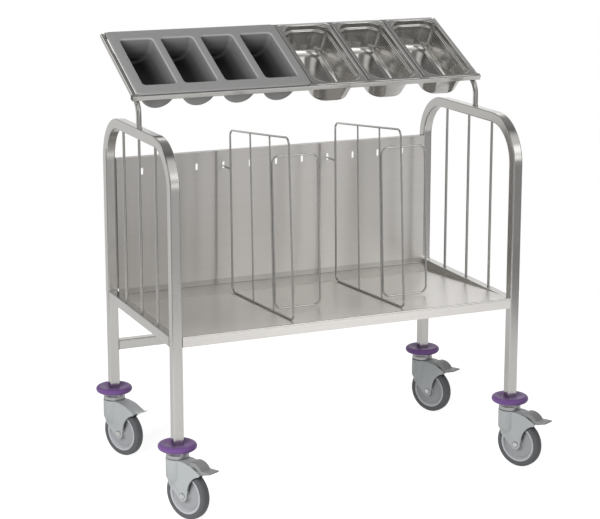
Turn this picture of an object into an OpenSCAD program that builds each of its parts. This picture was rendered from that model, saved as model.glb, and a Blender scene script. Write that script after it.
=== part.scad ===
// Tray and cutlery trolley, in millimetres, +Z up, the front towards -Y.
// Two bent tube end frames on swivel castors carry a sloping tray shelf, two lift-out wire dividers
// and a tilted rack with one cutlery insert and three food pans.

/* [End frames] */
// Width over the outer faces of the two end frames
frame_w = 1090; // [900:5:1300]
// Depth over the outer faces of the front and back legs
frame_d = 600; // [520:5:700]
// Height of the end frames' top faces above the floor
frame_top = 1056; // [950:1:1150]
// Outside size of the square tube
tube = 30; // [25:1:35]
// Corner radius of the square tube
tube_r = 4; // [2:0.5:5]
// Radius of the end frames' bends, on the outer face
bend_r = 140; // [100:5:180]
// Height of the cross members' top faces
cross_top = 515; // [480:1:560]
// Height of the back stretcher's top face
stretcher_top = 358; // [300:1:420]
// Diameter of the three upright rods in each end frame
rod_d = 8; // [6:0.5:12]
// Spacing of the rods along the end frame
rod_pitch = 140; // [110:5:150]

/* [Shelf and back panel] */
// Sheet thickness of the shelf and the back panel
sheet = 1.5; // [1:0.1:2]
// Height of the shelf's top face at its front edge
shelf_front_z = 519; // [500:1:560]
// Height of the shelf's front apron
apron_h = 31; // [20:1:50]
// Fall of the shelf per unit of depth, towards the back
shelf_fall = 0.058; // [0.02:0.002:0.08]
// Distance from the shelf's crease to the back panel
strip_d = 62; // [40:1:100]
// Rise of the strip behind the crease up to the back fold
strip_rise = 13; // [5:1:20]
// Height of the seam between the shelf's upstand and the back panel
seam_z = 520; // [515:1:540]
// Height of the back panel's top face
panel_top = 920; // [850:1:1000]
// Distance of the back panel in front of the back legs' front faces
panel_stand = 8; // [4:1:12]
// Depth of the folds round the back panel
panel_fold = 22; // [10:1:25]
// Number of hook slots in the back panel
slot_count = 11; // [7:2:13]
// Spacing of the hook slots
slot_pitch = 87; // [70:1:90]
// Width of a hook slot
slot_w = 7; // [6.5:0.5:10]
// Height of a hook slot
slot_h = 21; // [16:1:30]
// Height of the middle of the hook slots
slot_z = 876; // [820:1:890]
// Drop of a divider's hook below the middle of its slot
hook_drop = 3; // [0:0.5:4]

/* [Wire dividers] */
// Diameter of the divider's frame wire
wire_d = 6; // [5:0.5:8]
// Diameter of the divider's inner bars and hook
bar_d = 5; // [4:0.5:5.5]
// Diameter of the side loop's wire
wing_d = 5.5; // [4:0.5:6]
// Slots between the middle of the panel and each divider
divider_slot = 2; // [1:1:3]
// Height of the divider's back corner above the shelf
divider_back_h = 501; // [440:1:510]
// Height of the divider's front corner above the shelf
divider_front_h = 521; // [460:1:530]
// Distance from the shelf's front face to the divider's front wire
divider_in = 25; // [15:1:60]
// Lean of the divider's front wire, back per unit of height
divider_lean = 0.065; // [0:0.005:0.1]
// Bend radius of the divider's corners
wire_bend = 20; // [12:1:30]
// Width of the side loop that stands square to the divider
wing_w = 148; // [80:1:160]
// Gap between the side loop's top wire and the divider's top wire
wing_drop = 62; // [40:1:100]
// Height of the side loop's bottom wire above the divider's bottom wire
wing_foot = 6; // [5.5:0.5:20]
// Reach of a divider's hook behind the back panel
hook_past = 8; // [4:1:15]

/* [Rack] */
// Tilt of the rack, low at the front
rack_tilt = 26.5; // [15:0.5:35]
// Height of the front rail's middle above the end frames' top faces
rack_rise = 86; // [64:1:124]
// Place of the front rail's middle, behind the middle of the end frames
rack_front_y = -15; // [-60:1:20]
// Reach of the front rail past the outer face of each end frame
rail_over = 9; // [6:0.5:15]
// Distance between the middles of the two long rails
rail_gap = 320; // [316:1:322]
// Section of the long rails
rail = 15; // [12:1:18]
// Diameter of the rack's end bars
end_bar_d = 14; // [10:1:15]
// Middle of the end bars, in from the ends of the front rail
end_bar_in = 8; // [7:1:12]
// Width of the cross bars between the inserts
cross_bar_w = 14; // [8:1:16]
// Thickness of the cross bars
cross_bar_h = 8; // [4:1:12]
// Diameter of the two bent posts
post_d = 16; // [12:1:18]
// Radius of the posts' bends, on their middle line
post_bend = 50; // [40:2:60]
// Middle line of each post, outside the middle line of its end frame
post_out = 7; // [4:0.5:8]
// Foot of the posts, in front of the middle of the end frames
post_in_front = 24; // [20:1:30]

/* [Inserts] */
// Length of a full-size insert, along the rack
insert_w = 530; // [500:1:530]
// Width of the inserts, down the slope of the rack
insert_d = 325; // [322:0.5:326]
// Gap between neighbouring inserts
insert_gap = 7.5; // [4:0.5:12]
// Left end of the row of inserts, in from the left end of the front rail
row_in_left = 18.5; // [16:0.5:24]
// Right end of the row of inserts, in from the right end of the front rail
row_in_right = 9; // [6:0.5:24]
// Corner radius of the insert and pan rims
rim_r = 14; // [8:1:20]
// Number of compartments in the cutlery insert
cell_count = 4; // [2:1:4]
// Width of the bridges between the compartments
cell_gap = 24; // [12:1:40]
// Width of the rim at the left and right of the compartments
cell_rim_x = 27; // [20:1:40]
// Width of the rim above and below the compartments
cell_rim_y = 44; // [30:1:60]
// Depth of a compartment below the rim's top face
cell_depth = 84; // [70:1:110]
// Wall thickness of the cutlery insert
insert_wall = 2.5; // [2:0.5:3]
// Height of the skirt round the cutlery insert's rim
skirt_h = 5; // [4:0.5:6]
// Depth of the pans below the rim's top face
pan_depth = 90; // [65:1:105]
// Sheet thickness of the pans
pan_wall = 1; // [0.8:0.1:1.2]
// Width of the flat rim round a pan
pan_rim = 12; // [11:1:15]
// Depth of the pans' stacking shoulder
shoulder_depth = 16; // [10:1:16]
// Width of the pans' stacking shoulder
shoulder_w = 5; // [4:0.5:8]
// Corner radius of a pan's opening
pan_corner_r = 34; // [20:1:40]
// Draft of a pan's walls below the shoulder, at the floor
pan_draft = 10; // [2:1:12]
// Radius between a pan's walls and its floor
pan_floor_r = 24; // [12:1:28]

/* [Castors] */
// Diameter of the castor wheels over the tread
wheel_d = 145; // [125:1:150]
// Width of the tread
tyre_w = 30; // [24:1:34]
// Radial thickness of the tyre
tyre_t = 15.5; // [10:0.5:18]
// Distance from the swivel axis to the axle
trail = 38; // [30:1:44]
// Distance of the pedal's pivot in front of the axle
pedal_ahead = 29; // [26:1:32]
// Height of the pedal's pivot above the axle
pedal_up = 83; // [80:1:84]
// Reach of the pedal's tab in front of the tread
tab_reach = 27; // [15:1:32]
// Direction in which the castors trail at rest, from +X towards +Y
trail_angle = -63; // [-180:1:180]
// Width over the fork's two cheeks
fork_w = 48; // [44:1:54]
// Thickness of a fork cheek
cheek = 5.2; // [4:0.2:6]
// Radius of the fork's round housing
housing_r = 33.5; // [30:0.5:38]
// Height of the fork housing's top face
fork_top = 171; // [168:1:180]
// Diameter of the axle
axle_d = 8; // [6:0.5:10]
// Diameter of the swivel pin
king_pin_d = 12; // [8:1:16]
// Diameter of the bumper discs
bumper_d = 110; // [95:1:125]
// Thickness of the bumper discs
bumper_h = 14; // [10:1:20]
// Height of the middle of the bumper discs
bumper_z = 204; // [198:1:215]
// Diameter of the bearing cap below a bumper
cap_d = 65; // [50:1:66]

/* [Clearances] */
// Gap between faces that move past each other
gap = 0.3; // [0.2:0.05:0.5]
// Radial clearance of pins in their bores
pin_gap = 0.06; // [0.02:0.01:0.1]

/* [Hidden] */
$fn = 64;
SIDES = ["left", "right"];
CORNERS = ["front_left", "front_right", "back_left", "back_right"];
BRAKED = ["front_left", "front_right", "back_right"];
RODS = [1, 2, 3];
PANS = [1, 2, 3];
DIVIDERS = ["left", "right"];

// Middle lines and inner faces of the end frames
leg_x = frame_w / 2 - tube / 2;
leg_y = frame_d / 2 - tube / 2;
inner_x = frame_w / 2 - tube;
inner_y = frame_d / 2 - tube;

// The rails follow the end frames, and the row of inserts fills the rack between its two margins
rail_len = frame_w + 2 * rail_over;
back_rail_len = rail_len - 2 * end_bar_in - end_bar_d;
post_span = frame_w - tube + 2 * post_out;
row_left = rail_len / 2 - row_in_left;
pan_w = (rail_len - row_in_left - row_in_right - insert_w) / len(PANS) - insert_gap;
cell_w = (insert_w - 2 * cell_rim_x - (cell_count - 1) * cell_gap) / cell_count;
cell_pitch = cell_w + cell_gap;
cell_len = insert_d - 2 * cell_rim_y;

// The wheels and the brake tabs reach past the legs, so the frames stand off the object's middle
wheel_r = wheel_d / 2;
tab_tip = trail + wheel_r + tab_reach;
tab_half = fork_w / 2 - cheek - gap;
reach_right = max(0, tab_tip * cos(trail_angle) + tab_half * abs(sin(trail_angle)));
reach_front = max(0, -tab_tip * sin(trail_angle) + tab_half * abs(cos(trail_angle)));
stand_x = -(max(leg_x + reach_right, rail_len / 2) - leg_x - bumper_d / 2) / 2;
stand_y = (reach_front - bumper_d / 2) / 2;

// Heights along the shelf, whose top face falls towards the back
front_y = -frame_d / 2;
panel_y = inner_y - panel_stand;
crease_y = panel_y - strip_d;
function deck_z(y) = shelf_front_z - shelf_fall * (y - front_y);
fall_angle = atan(shelf_fall);
crease_z = deck_z(crease_y);
bend_in = 4;

// The divider's corners in the Y-Z plane: back foot, back top, front top, front foot
foot_lift = wire_d / 2 + gap;
divider_front_y = front_y + divider_in;
divider_back_y = crease_y - wire_d;
divider_pts = [
    [divider_back_y, deck_z(divider_back_y) + foot_lift],
    [divider_back_y + divider_lean * divider_back_h / 3, deck_z(divider_back_y) + divider_back_h],
    [divider_front_y + divider_lean * divider_front_h, deck_z(divider_front_y) + divider_front_h],
    [divider_front_y, deck_z(divider_front_y) + foot_lift]
];

// The rack's own axes: along the rails, up the slope, and square to the slope
rack_front_z = frame_top + rack_rise;
rack_front = [rack_front_y, rack_front_z];
insert_seat = rail / 2 + gap;
row_s = rail_gap / 2;
function pan_x(i) = -row_left + insert_w + i * insert_gap + (i - 0.5) * pan_w;
function gap_x(i) = -row_left + insert_w + (i - 0.5) * insert_gap + (i - 1) * pan_w;

// Castor heights
axle_z = wheel_r;
cap_top = bumper_z - bumper_h / 2;
cheek_in = fork_w / 2 - cheek;
rim_disc_r = wheel_r - tyre_t;
brake_x = trail + pedal_ahead;
brake_z = axle_z + pedal_up;
brake_pin_d = 6;
// Tip of the fork's sloping nose
nose_x = trail + 65;
nose_z = axle_z + 77;

// Colours
steel = [0.72, 0.70, 0.67];
polished = [0.80, 0.79, 0.77];
wire_colour = [0.78, 0.77, 0.75];
violet = [0.45, 0.30, 0.58];
housing_grey = [0.66, 0.69, 0.70];
pedal_grey = [0.53, 0.54, 0.54];
tyre_grey = [0.33, 0.34, 0.35];
disc_grey = [0.60, 0.61, 0.62];
insert_grey = [0.50, 0.50, 0.50];

function side_sign(s) = s == "left" ? -1 : 1;
function corner_x(c) = (c == "front_left" || c == "back_left" ? -1 : 1) * leg_x;
function corner_y(c) = (c == "front_left" || c == "front_right" ? -1 : 1) * leg_y;
function is_braked(c) = len(search([c], BRAKED)[0] == [] ? [] : [1]) > 0;

// Square tube's section, centred
module tube_section(size = tube, r = tube_r) {
    square([size - 2 * r, size], center = true);
    square([size, size - 2 * r], center = true);
    for (x = [-1, 1], y = [-1, 1])
        translate([x * (size / 2 - r), y * (size / 2 - r)]) circle(r);
}

// Rectangle with round corners, centred
module round_rect(w, d, r) {
    square([w - 2 * r, d], center = true);
    square([w, d - 2 * r], center = true);
    for (x = [-1, 1], y = [-1, 1])
        translate([x * (w / 2 - r), y * (d / 2 - r)]) circle(r);
}

// Bar of a section from the origin along +X
module along_x(len) {
    rotate([90, 0, 90]) linear_extrude(len) children();
}

// Thin folded sheet: a strip of even thickness below a line of points
function unit(v) = v / norm(v);
function below(v) = [v[1], -v[0]];
function fold_offset(p, i, t) =
    let (
        a = i == 0 ? unit(p[1] - p[0]) : unit(p[i] - p[i - 1]),
        b = i == len(p) - 1 ? a : unit(p[i + 1] - p[i]),
        m = unit(below(a) + below(b))
    )
    p[i] + m * t / (m * below(a));
module folded(points, t) {
    last = len(points) - 1;
    polygon(concat(points, [for (i = [last:-1:0]) fold_offset(points, i, t)]));
}

// Round wire through flat points, with its corners bent to one radius. The bends are a hair thicker
// than the straights, which end just inside them.
bend_over = 0.1;
bend_seat = 0.5;
module wire_run(points, bend, d, closed = true) {
    n = len(points);
    function at(i) = points[(i + n) % n];
    function dir(i) = unit(at(i + 1) - at(i));
    function turn(i) =
        let (c = dir(i - 1), e = dir(i))
        atan2(c[0] * e[1] - c[1] * e[0], c * e);
    function corner(i) = closed || (i > 0 && i < n - 1);
    function cut(i) = corner(i) ? bend * abs(tan(turn(i) / 2)) : 0;
    for (i = [0 : closed ? n - 1 : n - 2]) {
        j = (i + 1) % n;
        seat_i = corner(i) ? bend_seat : 0;
        seat_j = corner(j) ? bend_seat : 0;
        run = norm(at(j) - at(i)) - cut(i) - cut(j) + seat_i + seat_j;
        start = at(i) + dir(i) * (cut(i) - seat_i);
        translate([start[0], start[1], 0])
            rotate([0, 90, atan2(dir(i)[1], dir(i)[0])])
                cylinder(d = d, h = run);
    }
    for (i = [0 : n - 1]) if (corner(i)) {
        s = sign(turn(i));
        start = at(i) - dir(i - 1) * cut(i);
        side = [-dir(i - 1)[1], dir(i - 1)[0]] * s;
        centre = start + side * bend;
        from = atan2(-side[1], -side[0]);
        translate([centre[0], centre[1], 0])
            rotate([0, 0, s > 0 ? from : from + turn(i)])
                rotate_extrude(angle = abs(turn(i))) translate([bend, 0])
                    circle(d = d + bend_over, $fn = 32);
    }
}

module end_frame(side) {
    straight_r = bend_r - tube / 2;
    color(steel) translate([side_sign(side) * leg_x, 0, 0]) {
        for (y = [-1, 1]) {
            translate([0, y * leg_y, cap_top])
                linear_extrude(frame_top - bend_r - cap_top) tube_section();
            translate([0, y * (frame_d / 2 - bend_r), frame_top - bend_r])
                rotate([90, 0, y * 90]) rotate_extrude(angle = 90)
                    translate([straight_r, 0]) tube_section();
        }
        translate([0, -(frame_d / 2 - bend_r), frame_top - tube / 2])
            rotate([-90, 0, 0]) linear_extrude(frame_d - 2 * bend_r) tube_section();
    }
}

module cross_member(side) {
    color(steel) translate([side_sign(side) * leg_x, -inner_y, cross_top - tube / 2])
        rotate([-90, 0, 0]) linear_extrude(2 * inner_y) tube_section();
}

module rod(side, i) {
    foot = cross_top;
    color(steel) translate([side_sign(side) * leg_x, (i - 2) * rod_pitch, foot])
        cylinder(d = rod_d, h = frame_top - tube - foot);
}

module back_stretcher() {
    color(steel) translate([-inner_x, leg_y, stretcher_top - tube / 2])
        along_x(2 * inner_x) tube_section();
}

// The shelf's section: apron, falling deck, crease, rising strip and upstand, seen along X
module shelf() {
    back = panel_y;
    fold_r = 3;
    bend_z = crease_z + strip_rise;
    points = [
        [front_y, shelf_front_z - apron_h],
        [front_y, shelf_front_z - fold_r],
        for (a = [30, 60]) [front_y + fold_r * (1 - cos(a)), shelf_front_z - fold_r * (1 - sin(a))],
        [front_y + fold_r, deck_z(front_y + fold_r)],
        [crease_y - bend_in, deck_z(crease_y - bend_in)],
        [crease_y, crease_z + 0.4],
        [crease_y + bend_in, crease_z + strip_rise * bend_in / (back - crease_y)],
        [back - fold_r, bend_z],
        [back - fold_r * 0.3, bend_z + fold_r * 0.3],
        [back, bend_z + fold_r],
        [back, seam_z]
    ];
    color(steel) {
        translate([-inner_x, 0, 0]) along_x(2 * inner_x) folded(points, sheet);
        for (x = [-inner_x, inner_x - sheet])
            translate([x, 0, 0]) along_x(sheet) shelf_side(points);
    }
}

// Side flange, from the deck's underside down to the apron's lower edge
module shelf_side(points) {
    low = shelf_front_z - apron_h;
    n = len(points);
    polygon([
        [front_y + sheet, low],
        [front_y + sheet, shelf_front_z - 3],
        [front_y + 3, deck_z(front_y + 3) - sheet / 2],
        [crease_y - bend_in, deck_z(crease_y - bend_in) - sheet / 2],
        [crease_y + bend_in, points[n - 5][1] - sheet / 2],
        [panel_y - 3, points[n - 4][1] - sheet / 2],
        [panel_y - 3, low]
    ]);
}

module back_panel() {
    half = inner_x - gap;
    color(steel) difference() {
        union() {
            translate([-half, panel_y, seam_z]) cube([2 * half, sheet, panel_top - seam_z]);
            translate([-half, panel_y, panel_top - sheet]) cube([2 * half, panel_fold, sheet]);
            for (x = [-half, half - sheet])
                translate([x, panel_y, seam_z]) cube([sheet, panel_fold, panel_top - seam_z]);
        }
        for (i = [0 : slot_count - 1])
            translate([(i - (slot_count - 1) / 2) * slot_pitch, panel_y + sheet / 2, slot_z])
                rotate([90, 0, 0]) translate([0, 0, -sheet]) linear_extrude(2 * sheet)
                    slot_outline();
    }
}

module slot_outline() {
    square([slot_w, slot_h - slot_w], center = true);
    for (y = [-1, 1]) translate([0, y * (slot_h - slot_w) / 2]) circle(d = slot_w);
}

// Rack axes: x along the rails, s up the slope from the front rail, h square to the slope
module on_rack(x = 0, s = 0, h = 0) {
    translate([0, rack_front[0], rack_front[1]]) rotate([rack_tilt, 0, 0]) translate([x, s, h])
        children();
}

module long_rail(s, length) {
    color(steel) on_rack(-length / 2, s) along_x(length) tube_section(rail, 1.5);
}

// Round bar from the front rail past the end of the back rail, with a rounded end
module end_bar(side) {
    run = rail_gap - end_bar_d / 2;
    color(steel) on_rack(side_sign(side) * (rail_len / 2 - end_bar_in), rail / 2)
        rotate([-90, 0, 0]) {
            cylinder(d = end_bar_d, h = run);
            translate([0, 0, run]) sphere(d = end_bar_d);
        }
}

module cross_bar(i) {
    color(steel) on_rack(gap_x(i) - cross_bar_w / 2, rail / 2, rail / 2 - cross_bar_h)
        cube([cross_bar_w, rail_gap - rail, cross_bar_h]);
}

// Bent post: upright from the end frame's top, then back along the underside of the rack
module post(side) {
    lie_h = -(rail + post_d) / 2;
    foot_y = -post_in_front;
    slope = [cos(rack_tilt), sin(rack_tilt)];
    // the sloping middle line passes above the foot this far up the slope from the front rail
    corner_s = (foot_y - rack_front_y + lie_h * slope[1]) / slope[0];
    corner = rack_front + corner_s * slope + lie_h * [-slope[1], slope[0]];
    run_end = rail_gap + rail / 2;
    color(steel) translate([side_sign(side) * post_span / 2, 0, 0]) rotate([90, 0, 90])
        wire_run([[foot_y, frame_top], corner, corner + (run_end - corner_s) * slope],
            post_bend, post_d, false);
}

// Compartment's outline across the rack: upright sides and a half-round floor
module cell_outline(w, depth) {
    r = w / 2;
    translate([-r, r - depth]) square([w, depth - r]);
    intersection() {
        translate([0, r - depth]) circle(r);
        translate([-r, -depth]) square([w, r]);
    }
}

module cutlery_insert() {
    rim_t = insert_wall;
    top = insert_seat + skirt_h;
    first = -(cell_count - 1) / 2;
    color(insert_grey) on_rack(-row_left + insert_w / 2, row_s, top) difference() {
        union() {
            translate([0, 0, -skirt_h]) linear_extrude(skirt_h)
                round_rect(insert_w, insert_d, rim_r);
            for (i = [0 : cell_count - 1])
                translate([(first + i) * cell_pitch, cell_len / 2 + insert_wall, -rim_t / 2])
                    rotate([90, 0, 0]) linear_extrude(cell_len + 2 * insert_wall)
                        cell_outline(cell_w + 2 * insert_wall, cell_depth + insert_wall - rim_t / 2);
        }
        for (i = [0 : cell_count - 1])
            translate([(first + i) * cell_pitch, cell_len / 2, 0.01])
                rotate([90, 0, 0]) linear_extrude(cell_len) cell_outline(cell_w, cell_depth);
        // hollow under the rim, between its skirt and the compartments
        difference() {
            translate([0, 0, -skirt_h - 0.01]) linear_extrude(skirt_h - rim_t)
                round_rect(insert_w - 2 * insert_wall, insert_d - 2 * insert_wall,
                    rim_r - insert_wall);
            for (i = [0 : cell_count - 1])
                translate([(first + i) * cell_pitch, cell_len / 2 + insert_wall, 0])
                    rotate([90, 0, 0]) linear_extrude(cell_len + 2 * insert_wall)
                        cell_outline(cell_w + 2 * insert_wall, cell_depth + insert_wall);
        }
    }
}

// Pan's body, inset by a wall: a shallow upper ring, a shoulder, then a drawn bowl
module pan_form(inset, top) {
    w = pan_w - 2 * pan_rim - 2 * inset;
    d = insert_d - 2 * pan_rim - 2 * inset;
    r = pan_corner_r - inset;
    low = -(pan_depth - inset);
    step = -shoulder_depth + inset;
    floor_r = pan_floor_r - inset;
    w2 = w - 2 * shoulder_w;
    d2 = d - 2 * shoulder_w;
    r2 = r - shoulder_w;
    // below the rim the upper ring's walls stand square to it
    translate([0, 0, step]) linear_extrude(top - step) round_rect(w, d, r);
    hull() {
        translate([0, 0, step - 1]) linear_extrude(1.5) round_rect(w2, d2, r2, $fn = 40);
        for (x = [-1, 1], y = [-1, 1])
            translate([x * (w2 / 2 - pan_draft - floor_r), y * (d2 / 2 - pan_draft - floor_r),
                low + floor_r]) sphere(floor_r, $fn = 32);
    }
}

module pan(i) {
    color(polished) on_rack(pan_x(i), row_s, insert_seat + pan_wall) difference() {
        union() {
            translate([0, 0, -pan_wall]) linear_extrude(pan_wall)
                round_rect(pan_w, insert_d, rim_r);
            pan_form(0, -pan_wall / 2);
        }
        pan_form(pan_wall, 0.01);
    }
}

// Divider pieces are drawn flat and then stood up in the Y-Z plane of their slot
function divider_x(side) = side_sign(side) * divider_slot * slot_pitch;
module in_divider_plane(side) {
    translate([divider_x(side), 0, 0]) rotate([90, 0, 90]) children();
}

function between(a, b, t) = a + (b - a) * t;
function bar_foot(t) = between(divider_pts[3], divider_pts[0], t);
function bar_head(t) = between(divider_pts[2], divider_pts[1], t);
bar_places = [0.31, 0.64];

module divider_loop(side) {
    back_top = divider_pts[1];
    back_foot = divider_pts[0];
    // the hook runs straight back from the rear wire through its slot
    hook_z = slot_z - hook_drop;
    t = (hook_z - back_foot[1]) / (back_top[1] - back_foot[1]);
    hook_y = between(back_foot, back_top, t)[0];
    color(wire_colour) {
        in_divider_plane(side) wire_run(divider_pts, wire_bend, wire_d);
        translate([divider_x(side), hook_y, hook_z]) rotate([-90, 0, 0])
            cylinder(d = bar_d, h = panel_y + sheet + hook_past - hook_y);
    }
}

module divider_bars(side) {
    reach = wire_d / 2 - 0.1;
    color(wire_colour) in_divider_plane(side) for (t = bar_places) {
        a = bar_foot(t);
        b = bar_head(t);
        along = unit(b - a);
        start = a + along * reach;
        translate([start[0], start[1], 0]) rotate([0, 90, atan2(along[1], along[0])])
            cylinder(d = bar_d, h = norm(b - a) - 2 * reach);
    }
}

// Side loop: a round-cornered wire frame welded to the front inner bar and square to the divider
module divider_wing(side) {
    t = bar_places[0];
    a = bar_foot(t);
    b = bar_head(t);
    lean = atan2(b[0] - a[0], b[1] - a[1]);
    top = norm(b - a) - wing_drop;
    left = (bar_d + wing_d) / 2;
    color(wire_colour) translate([divider_x(side), a[0], a[1]]) rotate([90 - lean, 0, 0])
        wire_run([[left, wing_foot], [wing_w, wing_foot], [wing_w, top], [left, top]],
            wire_bend, wing_d);
}

// Bumper disc round a leg, with a rounded rim and a low collar
module bumper(c) {
    r = bumper_h / 2;
    color(violet) translate([corner_x(c), corner_y(c), bumper_z]) difference() {
        union() {
            rotate_extrude() {
                translate([0, -r]) square([bumper_d / 2 - r, bumper_h]);
                translate([bumper_d / 2 - r, 0]) circle(r);
            }
            translate([0, 0, r]) cylinder(r1 = bumper_d / 2 - 2 * r, r2 = tube * 0.8, h = 2);
        }
        translate([0, 0, -r - 1]) linear_extrude(bumper_h + 4) tube_section(tube + 0.1, tube_r);
    }
}

// Bearing cap below the bumper, with the swivel pin that hangs into the fork
module cap(c) {
    pin_len = 14;
    seat = fork_top + gap;
    color(housing_grey) translate([corner_x(c), corner_y(c), 0]) {
        translate([0, 0, seat]) cylinder(d = cap_d, h = cap_top - seat - 5);
        translate([0, 0, cap_top - 5]) cylinder(d1 = cap_d, d2 = cap_d - 6, h = 5);
        translate([0, 0, seat - pin_len]) cylinder(d = king_pin_d, h = pin_len + 1);
    }
}

// Castor axes: x the way it trails, y along the axle, z up, with the swivel axis at the origin
module at_castor(c) {
    translate([corner_x(c), corner_y(c), 0]) rotate([0, 0, trail_angle]) children();
}
module across(width) {
    translate([0, width / 2, 0]) rotate([90, 0, 0]) linear_extrude(width) children();
}

// Cheek outline: housing top, sloping nose, hollow front and a round lug at the axle
module cheek_outline() {
    back = -23;
    hollow_r = 58;
    difference() {
        union() {
            polygon([
                [back, fork_top], [housing_r + 4, fork_top], [brake_x - 14, fork_top - 2.5],
                [brake_x + 1, fork_top - 6], [nose_x - 3, nose_z], [nose_x, nose_z - 3],
                [nose_x - 3, nose_z - 8], [trail + 15, axle_z + 4], [trail + 9, axle_z - 13],
                [trail - 11, axle_z - 11.5], [back + 9, axle_z + 25], [back, axle_z + 55]
            ]);
            translate([trail, axle_z]) circle(16);
        }
        translate([trail + hollow_r + 18, axle_z + 12]) circle(hollow_r);
    }
}

// Space for the wheel between the cheeks, and on a braked fork for the pedal
module wheel_space(braked) {
    over_tread = 4.5;
    mouth_back = brake_x - 8;
    mouth_z = axle_z + 60;
    ahead = trail + wheel_r + 17.5;
    under_hood = axle_z + 70;
    translate([trail, axle_z]) circle(wheel_r + over_tread);
    polygon(braked
        ? [[mouth_back, fork_top + 20], [mouth_back, mouth_z], [ahead, mouth_z - 20],
            [ahead, fork_top + 20]]
        : [[trail + 40, under_hood], [trail + 66, under_hood], [ahead, under_hood - 6],
            [ahead, axle_z], [trail + 40, axle_z]]);
    translate([trail - 30, -10]) square([60, axle_z]);
}

module fork(c) {
    braked = is_braked(c);
    low = axle_z + 45;
    color(housing_grey) at_castor(c) difference() {
        union() {
            translate([0, 0, low]) cylinder(r = housing_r, h = fork_top - low);
            translate([0, 0, low - 18]) cylinder(r1 = housing_r - 9, r2 = housing_r, h = 18);
            across(fork_w) cheek_outline();
            if (!braked) across(18) hood_lip();
        }
        across(2 * cheek_in) wheel_space(braked);
        translate([0, 0, fork_top - 15]) cylinder(r = king_pin_d / 2 + pin_gap, h = 16);
        translate([trail, 0, axle_z]) rotate([90, 0, 0])
            cylinder(r = axle_d / 2 + pin_gap, h = fork_w + 2, center = true);
        if (braked)
            translate([brake_x, 0, brake_z]) rotate([90, 0, 0])
                cylinder(r = brake_pin_d / 2 + pin_gap, h = 2 * (cheek_in + 3), center = true);
    }
}

// Upturned lip at the nose of the plain fork
module hood_lip() {
    x = nose_x - 7;
    z = nose_z;
    polygon([[x, z - 4], [x + 14, z - 4], [x + 34, z + 6], [x + 35, z + 8.5], [x + 16, z + 3],
        [x - 4, z + 3]]);
}

module axle(c) {
    half = fork_w / 2;
    color(polished) at_castor(c) translate([trail, 0, axle_z]) rotate([90, 0, 0]) {
        cylinder(d = axle_d, h = fork_w, center = true);
        for (s = [0, 180]) rotate([s, 0, 0]) translate([0, 0, half]) {
            cylinder(r = 7.5, h = 1.5);
            translate([0, 0, 1.5]) cylinder(r1 = 7.5, r2 = 5, h = 1.5);
        }
    }
}

// Wheel disc: hub, dished web and rim, revolved about the axle
module wheel(c) {
    hub_r = 13;
    hub_half = cheek_in - 1;
    rim_half = tyre_w / 2 - 2;
    color(disc_grey) at_castor(c) translate([trail, 0, axle_z]) rotate([90, 0, 0])
        rotate_extrude($fn = 96) difference() {
            polygon([
                [axle_d / 2 + pin_gap, -hub_half], [hub_r, -hub_half], [hub_r + 8, -5],
                [rim_disc_r - 13, -4], [rim_disc_r - 7, -rim_half], [rim_disc_r, -rim_half],
                [rim_disc_r, rim_half], [rim_disc_r - 7, rim_half], [rim_disc_r - 13, 4],
                [hub_r + 8, 5], [hub_r, hub_half], [axle_d / 2 + pin_gap, hub_half]
            ]);
        }
}

// Tyre with a crowned tread
module tyre(c) {
    half = tyre_w / 2;
    crown = 9;
    color(tyre_grey) at_castor(c) translate([trail, 0, axle_z]) rotate([90, 0, 0])
        rotate_extrude($fn = 96) {
            translate([rim_disc_r, -half]) square([tyre_t - crown, tyre_w]);
            translate([wheel_r - crown, -half + crown]) square([crown, tyre_w - 2 * crown]);
            for (s = [-1, 1])
                intersection() {
                    translate([wheel_r - crown, s * (half - crown)]) circle(crown);
                    translate([wheel_r - crown - 1, s > 0 ? 0 : -half]) square([crown + 1, half]);
                }
        }
}

// Brake pedal: a curved cover with side skirts and a flat tab, on two trunnions
module brake(c) {
    cover_r = 39.5;
    cover_t = 4;
    skirt = 12;
    skirt_t = 3;
    x = brake_x + 5;
    z = brake_z + 20 - cover_r;
    low = brake_z - 9;
    tab_z = brake_z - 1;
    color(pedal_grey) at_castor(c) {
        across(2 * tab_half) {
            cover_ring(x, z, low, cover_r, cover_t);
            polygon([
                [x + cover_r - 10, low], [x + cover_r - 2, low], [tab_tip, tab_z],
                [tab_tip, tab_z + 2.5], [tab_tip - 2, tab_z + 3.5], [x + cover_r - 6, tab_z + 3]
            ]);
        }
        for (s = [-1, 1]) translate([0, s * (tab_half - skirt_t / 2), 0])
            across(skirt_t) cover_ring(x, z, low, cover_r, skirt);
        across(16) polygon([
            [brake_x - 3.5, brake_z - 2], [brake_x + 3.5, brake_z - 4], [x + cover_r - 10, low],
            [x + cover_r - 6, low + 8], [x + 20, z + cover_r - 9], [brake_x - 3, z + cover_r - 3]
        ]);
        translate([brake_x, 0, brake_z]) rotate([90, 0, 0]) {
            cylinder(d = brake_pin_d, h = 2 * (cheek_in + 2.7), center = true);
            cylinder(d = 11, h = 2 * tab_half, center = true);
        }
    }
}

// Upper front quarter of a ring, from the pedal's back edge down to its tab
module cover_ring(x, z, low, r, t) {
    difference() {
        intersection() {
            translate([x, z]) circle(r);
            translate([brake_x - 6, low]) square([x + r - brake_x + 6, z + r - low]);
        }
        translate([x, z]) circle(r - t);
    }
}

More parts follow.
